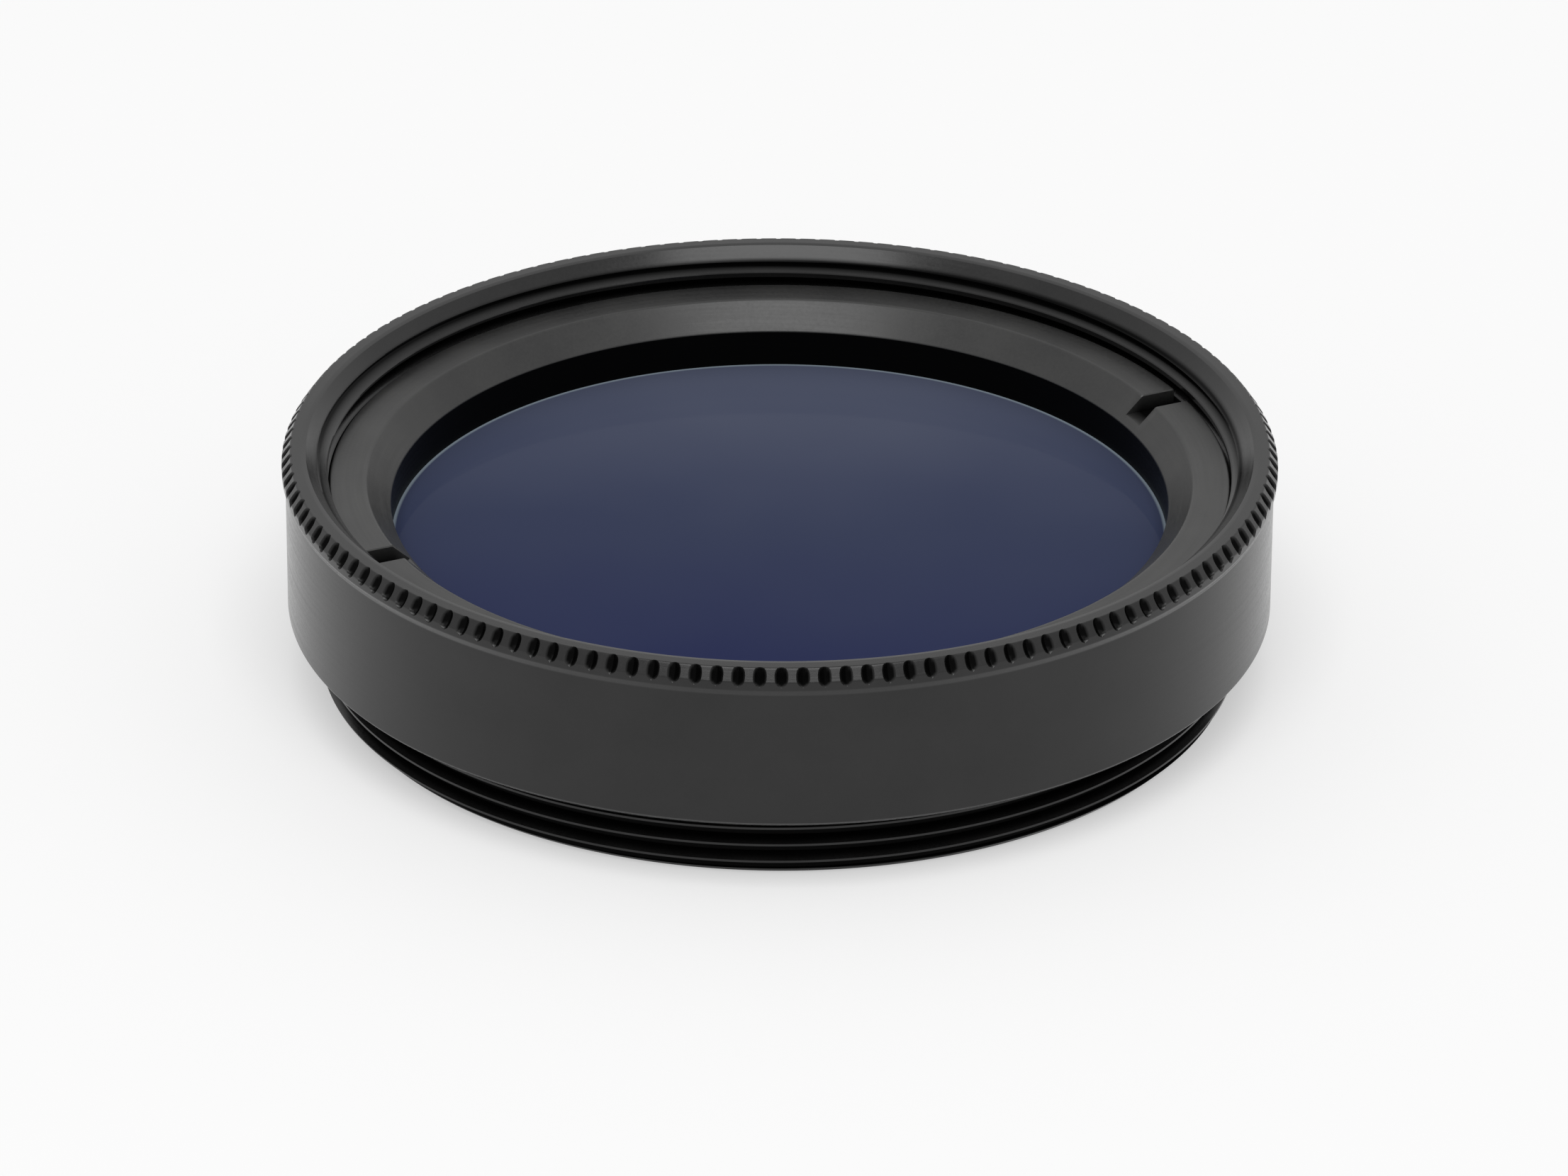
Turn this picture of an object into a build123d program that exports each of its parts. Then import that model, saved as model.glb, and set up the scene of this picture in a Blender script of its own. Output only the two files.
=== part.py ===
from build123d import *
from math import hypot
import os

# An optical filter in a threaded ring mount: millimetres, +Z up, the origin at the centre
# of the foot. The front of the filter faces up, and it stands on the end of its male thread.

# Threads, male below and female in the mouth, of one nominal size
thread_diameter = 25.5
thread_pitch = 0.5
thread_clearance = 0.03
male_thread_length = 2.0
foot_chamfer = 0.39
relief_width = 0.38
relief_depth = 0.32
mouth_chamfer = 0.22

# Mount ring, outside
body_height = 4.7
band_wall = 0.87
lip_step = 0.1
lip_height = 0.6
lip_undercut = 0.06
rim_slope_width = 0.48
rim_slope_height = 0.25
shoulder_chamfer = 0.12

# Serrations on the sloped edge of the rim
notch_count = 148
notch_width = 0.3
notch_depth = 0.15
notch_overrun = 0.06
notch_end_run = 0.15
notch_lift = 0.1
first_notch_angle = -89.7

# Mount ring, inside
pocket_step = 0.63
seat_width = 0.95
rear_chamfer = 0.35
ring_travel = 0.3

# Filter glass
glass_thickness = 2.0
glass_bevel = 0.15
glass_clearance = 0.1

# Retaining ring
ring_recess = 0.98
ring_thickness = 1.74
ring_flat_width = 1.0
ring_bevel = 0.69
ring_clearance = 0.04
ring_edge_chamfer = 0.12
slot_count = 2
slot_width = 0.64
slot_depth = 0.5
slot_angle = 25

# Heights above the foot
shoulder_height = male_thread_length
front_height = shoulder_height + body_height
ring_front = front_height - ring_recess
glass_front = ring_front - ring_thickness
seat_height = glass_front - glass_thickness

# Radii from the axis
male_radius = thread_diameter / 2
female_radius = male_radius + thread_clearance
band_radius = female_radius + band_wall
rim_radius = band_radius + lip_step
crest_height_per_pitch = 0.5413
crest_radius = male_radius - crest_height_per_pitch * thread_pitch
pocket_radius = crest_radius - pocket_step
glass_radius = pocket_radius - glass_clearance
clear_radius = pocket_radius - seat_width
ring_radius = crest_radius - ring_clearance
ring_knee_radius = ring_radius - ring_flat_width
ring_bore_radius = ring_knee_radius - ring_bevel


def turned(outline):
    """Turn a closed outline of (radius, height) points about the axis."""
    section = make_face(Plane.XZ * Polyline(*outline, close=True))
    return revolve(section, Axis.Z, 360)


def notch_cutters():
    """Short troughs with sloping ends that run down the rim's slope, one for each serration."""
    slope_length = hypot(rim_slope_width, rim_slope_height)
    half_mouth = slope_length / 2 + notch_overrun
    half_floor = half_mouth - notch_end_run
    half_top = half_mouth + notch_end_run * notch_lift / notch_depth
    along_slope = Plane(
        origin=(rim_radius - rim_slope_width / 2, 0, front_height - rim_slope_height / 2),
        x_dir=(rim_slope_width, 0, -rim_slope_height),
        z_dir=(0, -1, 0),
    )
    section = along_slope * make_face(
        Polyline(
            (-half_top, notch_lift),
            (half_top, notch_lift),
            (half_floor, -notch_depth),
            (-half_floor, -notch_depth),
            close=True,
        )
    )
    trough = extrude(section, notch_width / 2, both=True)
    step = 360 / notch_count
    return [Rot(0, 0, first_notch_angle + step * index) * trough for index in range(notch_count)]


def mount_ring():
    """The turned mount: serrated lip, plain band, shoulder, two threads, pocket and seat."""
    lip_foot = front_height - lip_height
    relief_radius = male_radius - relief_depth
    bore_foot = glass_front - ring_travel
    outside = [
        (male_radius - foot_chamfer, 0),
        (male_radius, foot_chamfer),
        (male_radius, shoulder_height - relief_width),
        (relief_radius, shoulder_height - relief_width),
        (relief_radius, shoulder_height),
        (band_radius - shoulder_chamfer, shoulder_height),
        (band_radius, shoulder_height + shoulder_chamfer),
        (band_radius, lip_foot - lip_undercut),
        (rim_radius, lip_foot),
        (rim_radius, front_height - rim_slope_height),
        (rim_radius - rim_slope_width, front_height),
    ]
    inside = [
        (female_radius + mouth_chamfer, front_height),
        (female_radius, front_height - mouth_chamfer),
        (female_radius, ring_front),
        (crest_radius, ring_front),
        (crest_radius, bore_foot),
        (pocket_radius, bore_foot - pocket_step),
        (pocket_radius, seat_height),
        (clear_radius, seat_height),
        (clear_radius, rear_chamfer),
        (clear_radius + rear_chamfer, 0),
    ]
    return turned(outside + inside) - notch_cutters()


def filter_glass():
    """The filter itself, a flat disc with its two edges bevelled."""
    return turned(
        [
            (0, seat_height),
            (glass_radius - glass_bevel, seat_height),
            (glass_radius, seat_height + glass_bevel),
            (glass_radius, glass_front - glass_bevel),
            (glass_radius - glass_bevel, glass_front),
            (0, glass_front),
        ]
    )


def retaining_ring():
    """The ring that holds the glass down, with a bevelled bore and slots for a spanner."""
    body = turned(
        [
            (ring_bore_radius, glass_front),
            (ring_radius - ring_edge_chamfer, glass_front),
            (ring_radius, glass_front + ring_edge_chamfer),
            (ring_radius, ring_front),
            (ring_knee_radius, ring_front),
            (ring_bore_radius, ring_front - ring_bevel),
        ]
    )
    slot = Pos(ring_bore_radius, 0, ring_front) * Box(
        ring_flat_width + ring_bevel + ring_clearance,
        slot_width,
        2 * slot_depth,
        align=(Align.MIN, Align.CENTER, Align.CENTER),
    )
    step = 360 / slot_count
    slots = [Rot(0, 0, slot_angle + step * index) * slot for index in range(slot_count)]
    return body - slots


os.makedirs("parts", exist_ok=True)

pieces = {
    "mount_ring": mount_ring(),
    "filter_glass": filter_glass(),
    "retaining_ring": retaining_ring(),
}

for name, piece in pieces.items():
    export_step(piece, f"parts/{name}.step")
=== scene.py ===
from math import asin, cos, hypot, pi, radians, sin

import bmesh
import bpy
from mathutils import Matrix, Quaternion, Vector


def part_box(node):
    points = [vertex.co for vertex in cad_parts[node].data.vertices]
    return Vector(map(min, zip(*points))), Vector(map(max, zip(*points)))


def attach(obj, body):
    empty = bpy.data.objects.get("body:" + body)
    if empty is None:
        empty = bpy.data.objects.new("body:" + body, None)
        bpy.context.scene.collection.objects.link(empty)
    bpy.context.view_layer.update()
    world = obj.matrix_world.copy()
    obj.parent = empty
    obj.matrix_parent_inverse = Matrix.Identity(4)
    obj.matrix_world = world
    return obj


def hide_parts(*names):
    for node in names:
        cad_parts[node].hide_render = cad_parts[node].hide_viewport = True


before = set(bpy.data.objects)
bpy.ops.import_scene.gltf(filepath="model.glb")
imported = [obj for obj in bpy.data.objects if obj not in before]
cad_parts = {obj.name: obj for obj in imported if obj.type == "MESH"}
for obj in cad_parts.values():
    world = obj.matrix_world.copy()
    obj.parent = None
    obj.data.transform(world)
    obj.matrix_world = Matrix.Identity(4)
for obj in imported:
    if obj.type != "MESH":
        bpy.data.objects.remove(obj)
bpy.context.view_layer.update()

# An optical filter in a threaded ring mount. It stands on the end of its male thread, its front faces
# up, and the axis is Z. Radii are from the axis and heights from the foot.

mm = 0.001
micron = 0.001 * mm
tiny = 0.1 * micron

# Places taken from the frame
_, mount_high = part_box("mount_ring")
_, ring_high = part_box("retaining_ring")
glass_low, glass_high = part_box("filter_glass")
front = mount_high.z
ring_front = ring_high.z
glass_front = glass_high.z
seat = glass_low.z
rim_radius = mount_high.x

# Threads of the mount, male at the foot and female in the mouth
pitch = 0.5 * mm
female_depth = 0.5413 * pitch
male_depth = 0.6134 * pitch
thread_clearance = 0.03 * mm
male_radius = 12.75 * mm
male_root_radius = male_radius - male_depth
female_radius = male_radius + thread_clearance
crest_radius = male_radius - female_depth
flank_share = 5 / 16
crest_share = 2 / 16
male_phase = 0.92 * mm
female_phase = 0.51 * mm
foot_chamfer = 0.39 * mm
foot_flat = 0.02 * mm
relief_foot = 1.62 * mm
relief_radius = 12.43 * mm
thread_past_ring = 0.4 * mm
female_thread_foot = ring_front - thread_past_ring
female_runout = 0.15 * mm

# Mouth: a chamfer at 45 degrees whose edge with the flat front is eased
mouth_edge = 13.1 * mm
mouth_ease = 0.02 * mm
mouth_ease_width = 0.1 * mm

# Outside of the mount
shoulder = 2.0 * mm
shoulder_chamfer = 0.12 * mm
lip_step = 0.1 * mm
band_radius = rim_radius - lip_step
lip_height = 0.56 * mm
lip_foot = front - lip_height
lip_taper = 0.2 * mm

# Slope between the rim's wall and the flat front, as points of (radius, height)
slope_width = 0.24 * mm
slope_height = 0.34 * mm
slope_foot = (rim_radius, front - slope_height)
slope_top = (rim_radius - slope_width, front)
slope_length = hypot(slope_width, slope_height)
up_slope = (-slope_width / slope_length, slope_height / slope_length)
into_slope = (-up_slope[1], up_slope[0])

# Serrations: the start and the end are shares of the slope's length, counted from its foot
notch_count = 150
first_notch = radians(-89.7)
notch_half_width = 0.185 * mm
notch_depth = 0.15 * mm
notch_start = -0.2
notch_end = 1.06
notch_roundness = 2.6
notch_side_power = 1.4
notch_end_power = 1.5
notch_sides = [-1, -0.66, -0.33, 0, 0.33, 0.66, 1]
notch_facet = 0.03 * mm
narrowest_notch = 0.3

# Rows of the serrated rim, how far they run down its wall and in over its front, and the join beyond
rim_row = 0.045 * mm
rim_wall = 0.13 * mm
rim_flat = 0.24 * mm
rim_join = 0.05 * mm

# Inside of the mount
ring_travel = 0.3 * mm
bore_foot = glass_front - ring_travel
pocket_step = 0.63 * mm
pocket_radius = 11.85 * mm
seat_width = 0.95 * mm
clear_radius = pocket_radius - seat_width
rear_chamfer = 0.35 * mm

# Retaining ring
ring_radius = 12.439 * mm
ring_flat_width = 1.0 * mm
ring_bevel = 0.69 * mm
knee_radius = ring_radius - ring_flat_width
ring_bore = knee_radius - ring_bevel
ring_edge_chamfer = 0.12 * mm
slot_half_width = 0.4 * mm
slot_depth = 0.5 * mm
slot_floor = ring_front - slot_depth
slot_count = 2
first_slot = radians(25)
slot_angles = [first_slot + 2 * pi * index / slot_count for index in range(slot_count)]
slot_edge = 0.03 * mm

# Roundings of the turned edges
fine_rounding = 0.02 * mm
lip_rounding = 0.025 * mm
edge_rounding = 0.03 * mm
face_rounding = 0.04 * mm
knee_rounding = 0.05 * mm

# Depths at which the painted shade starts to darken the black finish and is darkest, and the even
# painted shade of the bore
notch_painted_shade = (0.015 * mm, 0.075 * mm)
mouth_painted_shade_outward = (0.05 * mm, 0.22 * mm)
mouth_painted_shade_down = (0.28 * mm, 0.36 * mm)
male_painted_shade = (0.02 * mm, 0.2 * mm)
slot_painted_shade = (0.05 * mm, 0.2 * mm)
bore_painted_shade = 0.5

# Grid of the turned meshes: two columns for each serration
columns = 2 * notch_count
column_step = 2 * pi / columns
rows_per_turn = 16
spare_rows = rows_per_turn + 2
corner_steps = 4
hold_reach = 1.6
hold_room = 2.5
slot_columns = 6
plain_columns = columns // slot_count - (slot_columns + 2)

# Edges steeper than this stay sharp, and points that are the same to this many places are one
sharp_angle = radians(32)
places_per_metre = 1e8


class Shell:
    """Collects faces by the places of their corners, so that parts that touch share their points."""

    def __init__(self):
        self.points = []
        self.faces = []
        self.known = {}

    def point(self, angle, radius, height):
        place = (radius * cos(angle), radius * sin(angle), height)
        key = tuple(round(value * places_per_metre) for value in place)
        if key not in self.known:
            self.known[key] = len(self.points)
            self.points.append(place)
        return self.known[key]

    def face(self, corners):
        """Adds a face, less the corners that fall together, unless too few are left."""
        kept = [corner for index, corner in enumerate(corners) if corner != corners[index - 1]]
        if len(set(kept)) > 2 and len(set(kept)) == len(kept):
            self.faces.append(kept)

    def band(self, low, high):
        """Adds the faces between two closed rows of points."""
        for column in range(len(low)):
            following = (column + 1) % len(low)
            self.face([low[column], low[following], high[following], high[column]])

    def piece(self, name, material, slot, painted_shade):
        mesh = bpy.data.meshes.new(name)
        mesh.from_pydata(self.points, [], self.faces)
        shape = bmesh.new()
        shape.from_mesh(mesh)
        bmesh.ops.recalc_face_normals(shape, faces=shape.faces)
        shape.to_mesh(mesh)
        shape.free()
        mesh.shade_smooth()
        mesh.set_sharp_from_angle(angle=sharp_angle)
        mesh.materials.append(material)
        # Painted shade for each point, from 0 in the open to 1 where the finish is painted black
        shade = mesh.attributes.new("painted_shade", "FLOAT", "POINT")
        shade.data.foreach_set("value", [painted_shade(hypot(x, y), z) for x, y, z in self.points])
        piece = bpy.data.objects.new(name, mesh)
        bpy.context.scene.collection.objects.link(piece)
        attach(piece, "root")
        return piece


def column_angle(column):
    return first_notch + column_step * (column % columns)


def moved(place, direction, distance):
    """A (radius, height) place moved along a direction."""
    return place[0] + direction[0] * distance, place[1] + direction[1] * distance


def rounded(corners):
    """The (radius, height) points of a path whose corners are (radius, height, rounding).

    The rounding is how far from the corner the curve starts. A side that is long enough gets one more
    point beside the curve, which keeps the shading flat beyond it.
    """
    path = []
    for index, (radius, height, cut) in enumerate(corners):
        corner = (radius, height)
        if not cut:
            path.append(corner)
            continue
        sides = []
        for other in (corners[index - 1], corners[index + 1]):
            length = hypot(other[0] - radius, other[1] - height)
            direction = ((other[0] - radius) / length, (other[1] - height) / length)
            sides.append((direction, length > hold_room * cut))
        (back, back_has_room), (ahead, ahead_has_room) = sides
        if back_has_room:
            path.append(moved(corner, back, cut * hold_reach))
        path.append(moved(corner, back, cut))
        for step in range(1, corner_steps):
            share = step / corner_steps
            place = moved(corner, back, cut * (1 - share) ** 2)
            path.append(moved(place, ahead, cut * share**2))
        path.append(moved(corner, ahead, cut))
        if ahead_has_room:
            path.append(moved(corner, ahead, cut * hold_reach))
    return path


def turn(shell, path):
    """Turns a path about the axis."""
    rows = [[shell.point(column_angle(c), *place) for c in range(columns)] for place in path]
    for low, high in zip(rows, rows[1:]):
        shell.band(low, high)


def thread_rise(column):
    """How far a thread has climbed when it comes to a column."""
    return pitch * (column_angle(column) / (2 * pi))


def turn_share(height, phase, column):
    """Where a height lies between one turn of a thread and the next, from 0 to 1."""
    return ((height - phase - thread_rise(column)) / pitch) % 1.0


def thread(shell, foot, top, phase, profile):
    """A right-handed thread, cut off flat at two heights.

    profile(share, height) gives its radius at a share of the way from one turn to the next.
    """
    first = int((foot - phase) / pitch * rows_per_turn) - spare_rows
    last = int((top - phase) / pitch * rows_per_turn) + spare_rows

    def point(row, column):
        if column == columns:
            row += rows_per_turn
            column = 0
        height = phase + pitch * row / rows_per_turn + thread_rise(column)
        held = min(max(height, foot), top)
        radius = profile(turn_share(held, phase, column), held)
        return shell.point(column_angle(column), radius, held)

    rows = [[point(row, column) for column in range(columns + 1)] for row in range(first, last + 1)]
    for low, high in zip(rows, rows[1:]):
        for column in range(columns):
            shell.face([low[column], low[column + 1], high[column + 1], high[column]])


def tooth(share):
    """How far a tooth stands out, 0 to 1: a flank up, a crest, a flank down and a root."""
    if share < flank_share:
        return share / flank_share
    if share < flank_share + crest_share:
        return 1.0
    if share < 2 * flank_share + crest_share:
        return 1 - (share - flank_share - crest_share) / flank_share
    return 0.0


def male_profile(share, height):
    radius = male_root_radius + (male_radius - male_root_radius) * tooth(share)
    return min(radius, male_radius - foot_chamfer + height)


def female_profile(share, height):
    """The same teeth cut outward, half a turn on. They run out behind the retaining ring's face."""
    runout = min(1.0, (height - female_thread_foot) / female_runout)
    radius = crest_radius + (female_radius - crest_radius) * tooth((share + 0.5) % 1.0) * runout
    return max(radius, mouth_edge - (front - height))


def rim_profile():
    """The rim's (radius, height) points in close rows: the wall, the slope and the flat front."""
    path = rounded([
        (rim_radius, slope_foot[1] - rim_wall, 0),
        (*slope_foot, edge_rounding),
        (*slope_top, edge_rounding),
        (slope_top[0] - rim_flat, front, 0),
    ])
    profile = []
    for low, high in zip(path, path[1:]):
        across = high[0] - low[0]
        up = high[1] - low[1]
        steps = max(1, round(hypot(across, up) / rim_row))
        for step in range(steps):
            share = step / steps
            profile.append((low[0] + across * share, low[1] + up * share))
    profile.append(path[-1])
    return profile


def notch_spread(place):
    """How wide a serration is at a place of the rim's profile, as a share of its full width."""
    outward = place[0] - slope_foot[0]
    upward = place[1] - slope_foot[1]
    travel = (outward * up_slope[0] + upward * up_slope[1]) / slope_length
    share = (travel - notch_start) / (notch_end - notch_start)
    if not 0 < share < 1:
        return 0.0
    return (1 - abs(2 * share - 1) ** notch_roundness) ** (1 / notch_roundness)


def notch_columns(half_width):
    """The (angle, side) pairs across one serration, from the middle of the land before it.

    The side goes from -1 to 1 across the serration, and stays there on the land.
    """
    half = half_width / rim_radius
    edge = half + notch_facet / rim_radius
    scoop = [(half * side, side) for side in notch_sides]
    return [(-pi / notch_count, -1), (-edge, -1)] + scoop + [(edge, 1)]


def rim(shell):
    """The serrated rim: a scoop between every two lands. Gives the two places where it ends."""
    profile = rim_profile()
    rows = []
    for place in profile:
        spread = 0.0 if place in (profile[0], profile[-1]) else notch_spread(place)
        across = notch_columns(notch_half_width * max(spread, narrowest_notch))
        row = []
        for notch in range(notch_count):
            middle = first_notch + notch * 2 * pi / notch_count
            for angle, side in across:
                depth = notch_depth * (1 - abs(side) ** notch_side_power) * spread**notch_end_power
                row.append(shell.point(middle + angle, *moved(place, into_slope, depth)))
        rows.append(row)
    for low, high in zip(rows, rows[1:]):
        shell.band(low, high)

    # The fine columns of the first and the last row end on the coarse columns of the turned parts
    fine = len(rows[0])
    per_notch = fine // notch_count
    middle_column = 2 + len(notch_sides) // 2
    below = (profile[0][0], profile[0][1] - rim_join)
    within = (profile[-1][0] - rim_join, profile[-1][1])
    for row, beyond in ((rows[0], below), (rows[-1], within)):
        for notch in range(notch_count):
            start = notch * per_notch
            coarse = [shell.point(column_angle(2 * notch + k), *beyond) for k in (-1, 0, 1)]
            left = [row[start + k] for k in range(middle_column + 1)]
            right = [row[(start + k) % fine] for k in range(middle_column, per_notch + 1)]
            shell.face([coarse[0], coarse[1]] + left[::-1])
            shell.face([coarse[1], coarse[2]] + right[::-1])
    return below, within


def share_of(value, limits):
    """Where a value lies between two limits, held from 0 to 1."""
    low, high = limits
    return min(max((value - low) / (high - low), 0.0), 1.0)


def mount_painted_shade(radius, height):
    """Painted shade by how deep a point lies in a serration, a thread or the bore: the finish is
    painted black there.
    """
    below_front = front - height
    if radius > mouth_edge + mouth_ease:
        if height < lip_foot or below_front < tiny:
            return 0.0
        slope = rim_radius - slope_width * share_of(height, (front - slope_height, front))
        return share_of(slope - radius, notch_painted_shade)
    if height > shoulder and radius > crest_radius + micron:
        outward = share_of(radius - crest_radius, mouth_painted_shade_outward)
        return outward * share_of(below_front, mouth_painted_shade_down)
    if height < shoulder and radius > clear_radius + rear_chamfer:
        return share_of(male_radius - radius, male_painted_shade)
    return bore_painted_shade


def ring_painted_shade(radius, height):
    """Painted shade on the ring: black on the bore's plain wall, and darkening down into the slots."""
    if height < ring_front - ring_bevel - fine_rounding:
        return 1.0
    bevel = ring_front - (knee_radius - radius) * ring_bevel / (knee_radius - ring_bore)
    return share_of(min(bevel, ring_front) - height, slot_painted_shade)


def mount_ring(material):
    shell = Shell()
    thread(shell, 0.0, relief_foot, male_phase, male_profile)
    rim_below, rim_within = rim(shell)
    turn(shell, rounded([
        (relief_radius, relief_foot, 0),
        (relief_radius, shoulder, face_rounding),
        (band_radius - shoulder_chamfer, shoulder, fine_rounding),
        (band_radius, shoulder + shoulder_chamfer, edge_rounding),
        (band_radius, lip_foot - lip_taper, edge_rounding),
        (rim_radius, lip_foot, lip_rounding),
        (*rim_below, 0),
    ]))
    turn(shell, [
        rim_within,
        (mouth_edge + mouth_ease_width, front),
        (mouth_edge - mouth_ease, front - mouth_ease),
    ])
    thread(shell, female_thread_foot, front - mouth_ease, front - female_phase, female_profile)
    turn(shell, rounded([
        (crest_radius, female_thread_foot, 0),
        (crest_radius, bore_foot, edge_rounding),
        (pocket_radius, bore_foot - pocket_step, edge_rounding),
        (pocket_radius, seat, edge_rounding),
        (clear_radius, seat, edge_rounding),
        (clear_radius, rear_chamfer, edge_rounding),
        (clear_radius + rear_chamfer, 0, fine_rounding),
        (male_radius - foot_chamfer - foot_flat, 0, 0),
        (male_radius - foot_chamfer, 0, 0),
    ]))

    # The relief groove cuts the male thread off, so its foot follows the thread's turns
    turns = []
    groove = []
    for column in range(columns):
        radius = male_profile(turn_share(relief_foot, male_phase, column), relief_foot)
        turns.append(shell.point(column_angle(column), radius, relief_foot))
        groove.append(shell.point(column_angle(column), relief_radius, relief_foot))
    shell.band(turns, groove)

    piece = shell.piece("serrated_mount", material, "anodised_mount", mount_painted_shade)
    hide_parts("mount_ring")


def slotted_row(shell, radius, height):
    """One row of the retaining ring, lowered to the slots' floor where it crosses them."""
    half = asin(slot_half_width / radius)
    outer_half = asin((slot_half_width + slot_edge) / radius)
    lowered = min(height, slot_floor)
    bevelled = max(lowered, height - slot_edge)
    row = []
    for middle, following in zip(slot_angles, slot_angles[1:] + [slot_angles[0] + 2 * pi]):
        row.append(shell.point(middle - outer_half, radius, height))
        row.append(shell.point(middle - half, radius, bevelled))
        for step in range(slot_columns + 1):
            row.append(shell.point(middle - half + 2 * half * step / slot_columns, radius, lowered))
        row.append(shell.point(middle + half, radius, bevelled))
        row.append(shell.point(middle + outer_half, radius, height))
        start = middle + outer_half
        span = following - outer_half - start
        for step in range(1, plain_columns):
            row.append(shell.point(start + span * step / plain_columns, radius, height))
    return row


def retaining_ring(material):
    """The slotted ring: turned rows whose columns follow the two slots' walls."""
    shell = Shell()
    path = rounded([
        (ring_bore, glass_front, 0),
        (ring_bore, ring_front - ring_bevel, edge_rounding),
        (knee_radius, ring_front, knee_rounding),
        (ring_radius, ring_front, face_rounding),
        (ring_radius, glass_front + ring_edge_chamfer, fine_rounding),
        (ring_radius - ring_edge_chamfer, glass_front, 0),
    ])
    path.append(path[0])
    places = []
    for start, end in zip(path, path[1:]):
        places.append(start)
        if min(start[1], end[1]) < slot_floor < max(start[1], end[1]):
            share = (slot_floor - start[1]) / (end[1] - start[1])
            places.append((start[0] + (end[0] - start[0]) * share, slot_floor))
    places.append(path[-1])
    rows = [slotted_row(shell, *place) for place in places]
    for low, high in zip(rows, rows[1:]):
        shell.band(low, high)
    piece = shell.piece("slotted_ring", material, "anodised_ring", ring_painted_shade)
    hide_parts("retaining_ring")


class Nodes:
    """A short way to write a node tree."""

    def __init__(self, tree):
        self.tree = tree

    def add(self, kind, **settings):
        node = self.tree.nodes.new(kind)
        for name, value in settings.items():
            setattr(node, name, value)
        return node

    def link(self, source, target):
        self.tree.links.new(source, target)

    def math(self, operation, first, second=None):
        node = self.add("ShaderNodeMath", operation=operation)
        for socket, value in zip(node.inputs, (first, second)):
            if value is None:
                continue
            if isinstance(value, (int, float)):
                socket.default_value = value
            else:
                self.link(value, socket)
        return node.outputs[0]

    def ramp(self, factor, stops):
        node = self.add("ShaderNodeValToRGB")
        self.link(factor, node.inputs["Fac"])
        points = node.color_ramp.elements
        while len(points) < len(stops):
            points.new(0.5)
        for point, (place, colour) in zip(points, stops):
            point.position = place
            point.color = (*colour, 1)
        return node.outputs["Color"]

    def remap(self, value, source, target):
        """Stretches the range of a value, held to the target's ends."""
        node = self.add("ShaderNodeMapRange")
        self.link(value, node.inputs["Value"])
        for name, number in zip(("From Min", "From Max", "To Min", "To Max"), (*source, *target)):
            node.inputs[name].default_value = number
        return node.outputs["Result"]

    def blend(self, factor, first, colour):
        """A mix from a linked colour to a plain one."""
        node = self.add("ShaderNodeMix", data_type="RGBA")
        self.link(factor, node.inputs["Factor"])
        self.link(first, node.inputs["A"])
        node.inputs["B"].default_value = (*colour, 1)
        return node.outputs["Result"]

    def noise(self, place, scale, detail, roughness):
        node = self.add("ShaderNodeTexNoise")
        self.link(place, node.inputs["Vector"])
        for name, number in (("Scale", scale), ("Detail", detail), ("Roughness", roughness)):
            node.inputs[name].default_value = number
        return node.outputs["Fac"]

    def bump(self, height, distance, normal=None):
        node = self.add("ShaderNodeBump")
        self.link(height, node.inputs["Height"])
        node.inputs["Distance"].default_value = distance
        if normal:
            self.link(normal, node.inputs["Normal"])
        return node.outputs[0]


def new_material(name):
    material = bpy.data.materials.new(name)
    material.use_nodes = True
    material.node_tree.nodes.clear()
    nodes = Nodes(material.node_tree)
    shader = nodes.add("ShaderNodeBsdfPrincipled")
    output = nodes.add("ShaderNodeOutputMaterial")
    nodes.link(shader.outputs[0], output.inputs["Surface"])
    return material, nodes, shader


def object_place(nodes):
    """Object coordinates in millimetres, their three parts, and the radius from them."""
    place = nodes.add("ShaderNodeTexCoord").outputs["Object"]
    scaled = nodes.add("ShaderNodeVectorMath", operation="SCALE")
    nodes.link(place, scaled.inputs[0])
    scaled.inputs["Scale"].default_value = 1 / mm
    parts = nodes.add("ShaderNodeSeparateXYZ")
    nodes.link(scaled.outputs[0], parts.inputs[0])
    x, y, z = parts.outputs
    square_sum = nodes.math("ADD", nodes.math("MULTIPLY", x, x), nodes.math("MULTIPLY", y, y))
    return scaled.outputs[0], x, y, z, nodes.math("SQRT", square_sum)


def turned_place(nodes, x, y, z, radius):
    """Coordinates that run fast across the turning marks and slowly along them."""
    across = 9.0
    along = 2.2
    skew = 0.7
    joined = nodes.add("ShaderNodeCombineXYZ")
    turn_x = nodes.math("MULTIPLY", nodes.math("DIVIDE", x, radius), along)
    turn_y = nodes.math("MULTIPLY", nodes.math("DIVIDE", y, radius), along)
    outward = nodes.math("ADD", nodes.math("MULTIPLY", radius, across), turn_x)
    upward = nodes.math("ADD", nodes.math("MULTIPLY", z, across), turn_y)
    round_about = nodes.math("MULTIPLY", nodes.math("SUBTRACT", turn_x, turn_y), skew)
    for socket, value in zip(joined.inputs, (outward, upward, round_about)):
        nodes.link(value, socket)
    return joined.outputs[0]


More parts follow.
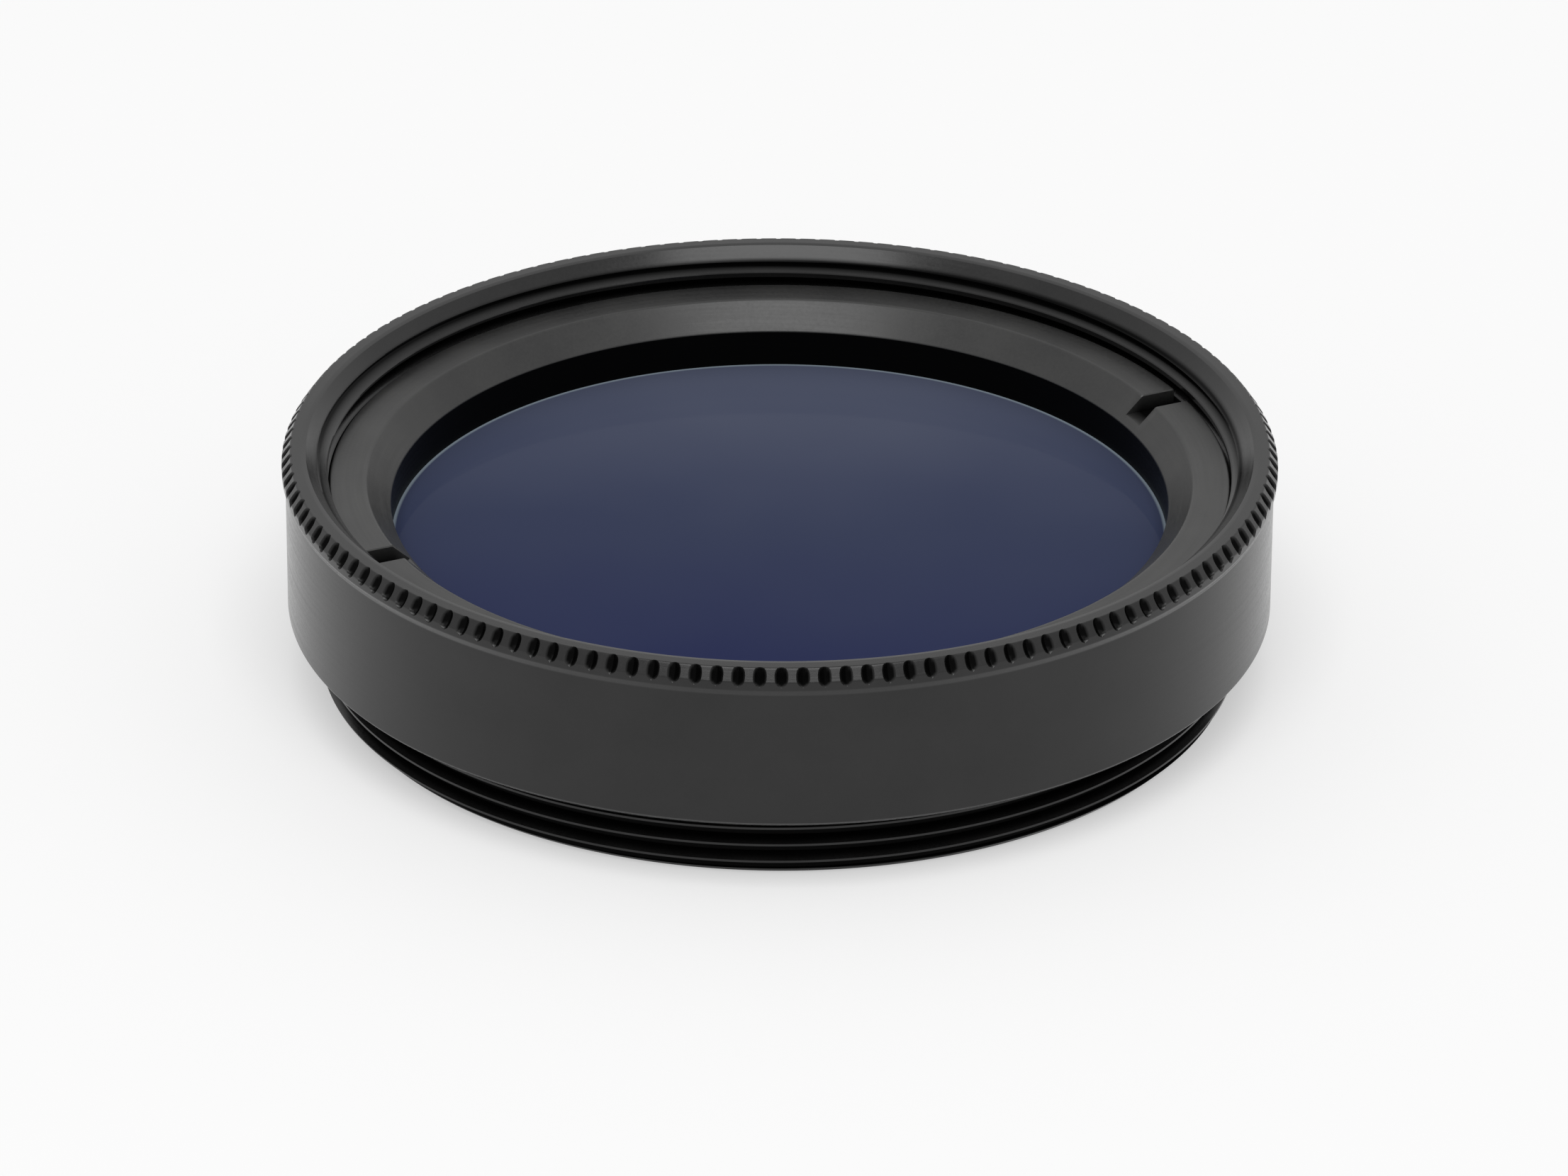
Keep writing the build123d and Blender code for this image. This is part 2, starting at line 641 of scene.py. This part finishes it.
def anodised(name, dark, pale, roughness, ior):
    """Black anodised aluminium: turning marks under a fine matt grain, and painted shade that makes
    colour and gloss black where it is hollow.
    """
    painted_shade_colour = (0.002, 0.002, 0.002)
    open_gloss = 0.5
    painted_shade_gloss = 0.04
    cloud_share = 0.6
    cloud_low = 0.36
    cloud_high = 0.64
    mark_share = 0.5
    mark_range = (0.35, 0.65)
    mark_depth = 1.5e-6
    grain_depth = 0.8e-6
    material, nodes, shader = new_material(name)
    place, x, y, z, radius = object_place(nodes)
    turned = turned_place(nodes, x, y, z, radius)
    marks = nodes.noise(turned, scale=1.0, detail=3.0, roughness=0.6)
    grain = nodes.noise(place, scale=11.0, detail=3.0, roughness=0.6)
    cloud = nodes.noise(place, scale=0.55, detail=3.0, roughness=0.5)
    tone = nodes.math(
        "ADD",
        nodes.math("MULTIPLY", cloud, cloud_share),
        nodes.math("MULTIPLY", grain, 1 - cloud_share),
    )
    # Painted shade: the colour goes to black and the gloss drops where a point lies deep in a hollow
    painted_shade = nodes.add("ShaderNodeAttribute", attribute_name="painted_shade").outputs["Fac"]
    finish = nodes.ramp(tone, [(cloud_low, dark), (cloud_high, pale)])
    nodes.link(nodes.blend(painted_shade, finish, painted_shade_colour), shader.inputs["Base Color"])
    gloss = nodes.remap(painted_shade, (0.0, 1.0), (open_gloss, painted_shade_gloss))
    nodes.link(gloss, shader.inputs["Specular IOR Level"])
    mixed = nodes.math(
        "ADD",
        nodes.math("MULTIPLY", marks, mark_share),
        nodes.math("MULTIPLY", grain, 1 - mark_share),
    )
    nodes.link(nodes.remap(mixed, mark_range, roughness), shader.inputs["Roughness"])
    shader.inputs["IOR"].default_value = ior
    coarse = nodes.bump(marks, mark_depth)
    nodes.link(nodes.bump(grain, grain_depth, coarse), shader.inputs["Normal"])
    return material


def coated_glass():
    """Polished glass under an interference coating, with painted light that makes it paler towards the
    back and a painted highlight in a thin ring near its edge.
    """
    painted_light_reach = 10.5
    painted_highlight_radii = (10.64, 10.70)
    painted_highlight_colour = (0.24, 0.29, 0.34)
    cloud_strength = 0.35
    cloud_middle = 0.5
    dust_range = (0.3, 0.75)
    polish = (0.03, 0.09)
    material, nodes, shader = new_material("coated_glass")
    place, _, y, _, radius = object_place(nodes)
    # Painted light: the coating's colour is made paler towards the back (+Y)
    painted_light_sweep = nodes.remap(y, (-painted_light_reach, painted_light_reach), (0.0, 1.0))
    cloud = nodes.noise(place, scale=0.12, detail=2.0, roughness=0.5)
    drift = nodes.math("MULTIPLY", nodes.math("SUBTRACT", cloud, cloud_middle), cloud_strength)
    tone = nodes.math("ADD", painted_light_sweep, drift)
    body = nodes.ramp(tone, [
        (0.0, (0.021, 0.027, 0.092)),
        (0.5, (0.044, 0.055, 0.108)),
        (1.0, (0.088, 0.101, 0.154)),
    ])
    # Painted highlight: a thin pale ring of colour near the glass's edge
    edge = nodes.remap(radius, painted_highlight_radii, (0.0, 1.0))
    nodes.link(nodes.blend(edge, body, painted_highlight_colour), shader.inputs["Base Color"])
    dust = nodes.noise(place, scale=2.6, detail=6.0, roughness=0.7)
    nodes.link(nodes.remap(dust, dust_range, polish), shader.inputs["Roughness"])
    shader.inputs["IOR"].default_value = 1.12
    shader.inputs["Specular IOR Level"].default_value = 0.12
    shader.inputs["Specular Tint"].default_value = (0.8, 0.86, 1.0, 1)
    return material


def seen_rays(nodes):
    """1 for the rays that look at the background directly, in a reflection or through glass."""
    rays = nodes.add("ShaderNodeLightPath").outputs
    first = nodes.math("MAXIMUM", rays["Is Camera Ray"], rays["Is Glossy Ray"])
    return nodes.math("MAXIMUM", first, rays["Is Transmission Ray"])


def background():
    """White to the camera and in reflections, and a softer level on everything matt."""
    soft_level = 0.6
    white = 1.0
    world = bpy.data.worlds.new("studio")
    bpy.context.scene.world = world
    world.use_nodes = True
    world.node_tree.nodes.clear()
    nodes = Nodes(world.node_tree)
    seen = seen_rays(nodes)
    shader = nodes.add("ShaderNodeBackground")
    strength = nodes.remap(seen, (0.0, 1.0), (soft_level, white))
    nodes.link(strength, shader.inputs["Strength"])
    output = nodes.add("ShaderNodeOutputWorld")
    nodes.link(shader.outputs[0], output.inputs["Surface"])


def studio_floor():
    """A pale floor just under the foot, which keeps the part's shadow."""
    half = 2.0
    drop = 0.01 * mm
    pale = (0.62, 0.62, 0.62)
    glow_strength = 0.45
    mesh = bpy.data.meshes.new("studio_floor")
    corners = [(-half, -half, 0), (half, -half, 0), (half, half, 0), (-half, half, 0)]
    mesh.from_pydata(corners, [], [(0, 1, 2, 3)])
    floor = bpy.data.objects.new("studio_floor", mesh)
    floor.location.z = -drop
    bpy.context.scene.collection.objects.link(floor)
    material = bpy.data.materials.new("pale_floor")
    material.use_nodes = True
    material.node_tree.nodes.clear()
    nodes = Nodes(material.node_tree)
    matt = nodes.add("ShaderNodeBsdfDiffuse")
    matt.inputs["Color"].default_value = (*pale, 1)
    glow = nodes.add("ShaderNodeEmission")
    nodes.link(nodes.math("MULTIPLY", seen_rays(nodes), glow_strength), glow.inputs["Strength"])
    both = nodes.add("ShaderNodeAddShader")
    nodes.link(matt.outputs[0], both.inputs[0])
    nodes.link(glow.outputs[0], both.inputs[1])
    output = nodes.add("ShaderNodeOutputMaterial")
    nodes.link(both.outputs[0], output.inputs["Surface"])
    mesh.materials.append(material)


def soft_lamp(name, azimuth, elevation, size, brightness):
    """A square soft lamp that faces the part. The brightness is what a reflection of it shows."""
    distance = 1.3
    lamp = bpy.data.lights.new(name, "AREA")
    lamp.shape = "SQUARE"
    lamp.size = size
    lamp.energy = brightness * pi * size * size
    holder = bpy.data.objects.new(name, lamp)
    toward = Vector((
        sin(azimuth) * cos(elevation),
        -cos(azimuth) * cos(elevation),
        sin(elevation),
    ))
    holder.location = toward * distance
    holder.rotation_mode = "QUATERNION"
    holder.rotation_quaternion = toward.to_track_quat("Z", "Y")
    holder.visible_camera = False
    bpy.context.scene.collection.objects.link(holder)


def camera():
    """A long lens in front of the part and above it. Its aim is off the rim's centre by some pixels."""
    elevation = radians(26.0)
    distance = 261.25 * mm
    picture_width = 2212
    focal_pixels = 13350
    right_of_centre = 6.8
    below_centre = 204.3
    roll = radians(0.3)
    sensor_width = 36
    pixel = distance / focal_pixels
    toward = Vector((0, -cos(elevation), sin(elevation)))
    upward = Vector((0, sin(elevation), cos(elevation)))
    rim_centre = Vector((0, 0, front))
    aim = rim_centre + Vector((1, 0, 0)) * right_of_centre * pixel - upward * below_centre * pixel
    data = bpy.data.cameras.new("camera")
    data.sensor_width = sensor_width
    data.lens = focal_pixels / picture_width * sensor_width
    data.clip_start = 0.01
    data.clip_end = 20
    holder = bpy.data.objects.new("camera", data)
    holder.location = rim_centre + toward * distance
    holder.rotation_mode = "QUATERNION"
    turned = Quaternion((0, 0, 1), roll)
    holder.rotation_quaternion = (aim - holder.location).to_track_quat("-Z", "Y") @ turned
    bpy.context.scene.collection.objects.link(holder)
    bpy.context.scene.camera = holder


mount_black = anodised(
    "mount_black",
    dark=(0.006, 0.006, 0.006),
    pale=(0.012, 0.0117, 0.0117),
    roughness=(0.16, 0.27),
    ior=1.46,
)
ring_black = anodised(
    "ring_black",
    dark=(0.020, 0.020, 0.020),
    pale=(0.032, 0.032, 0.031),
    roughness=(0.30, 0.42),
    ior=1.5,
)

camera()
background()
studio_floor()
soft_lamp("key", azimuth=0, elevation=radians(63), size=0.9, brightness=3.0)
mount_ring(mount_black)
retaining_ring(ring_black)

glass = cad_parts["filter_glass"]
glass.data.materials.clear()
glass.data.materials.append(coated_glass())

scene = bpy.context.scene
scene.view_settings.view_transform = "Standard"
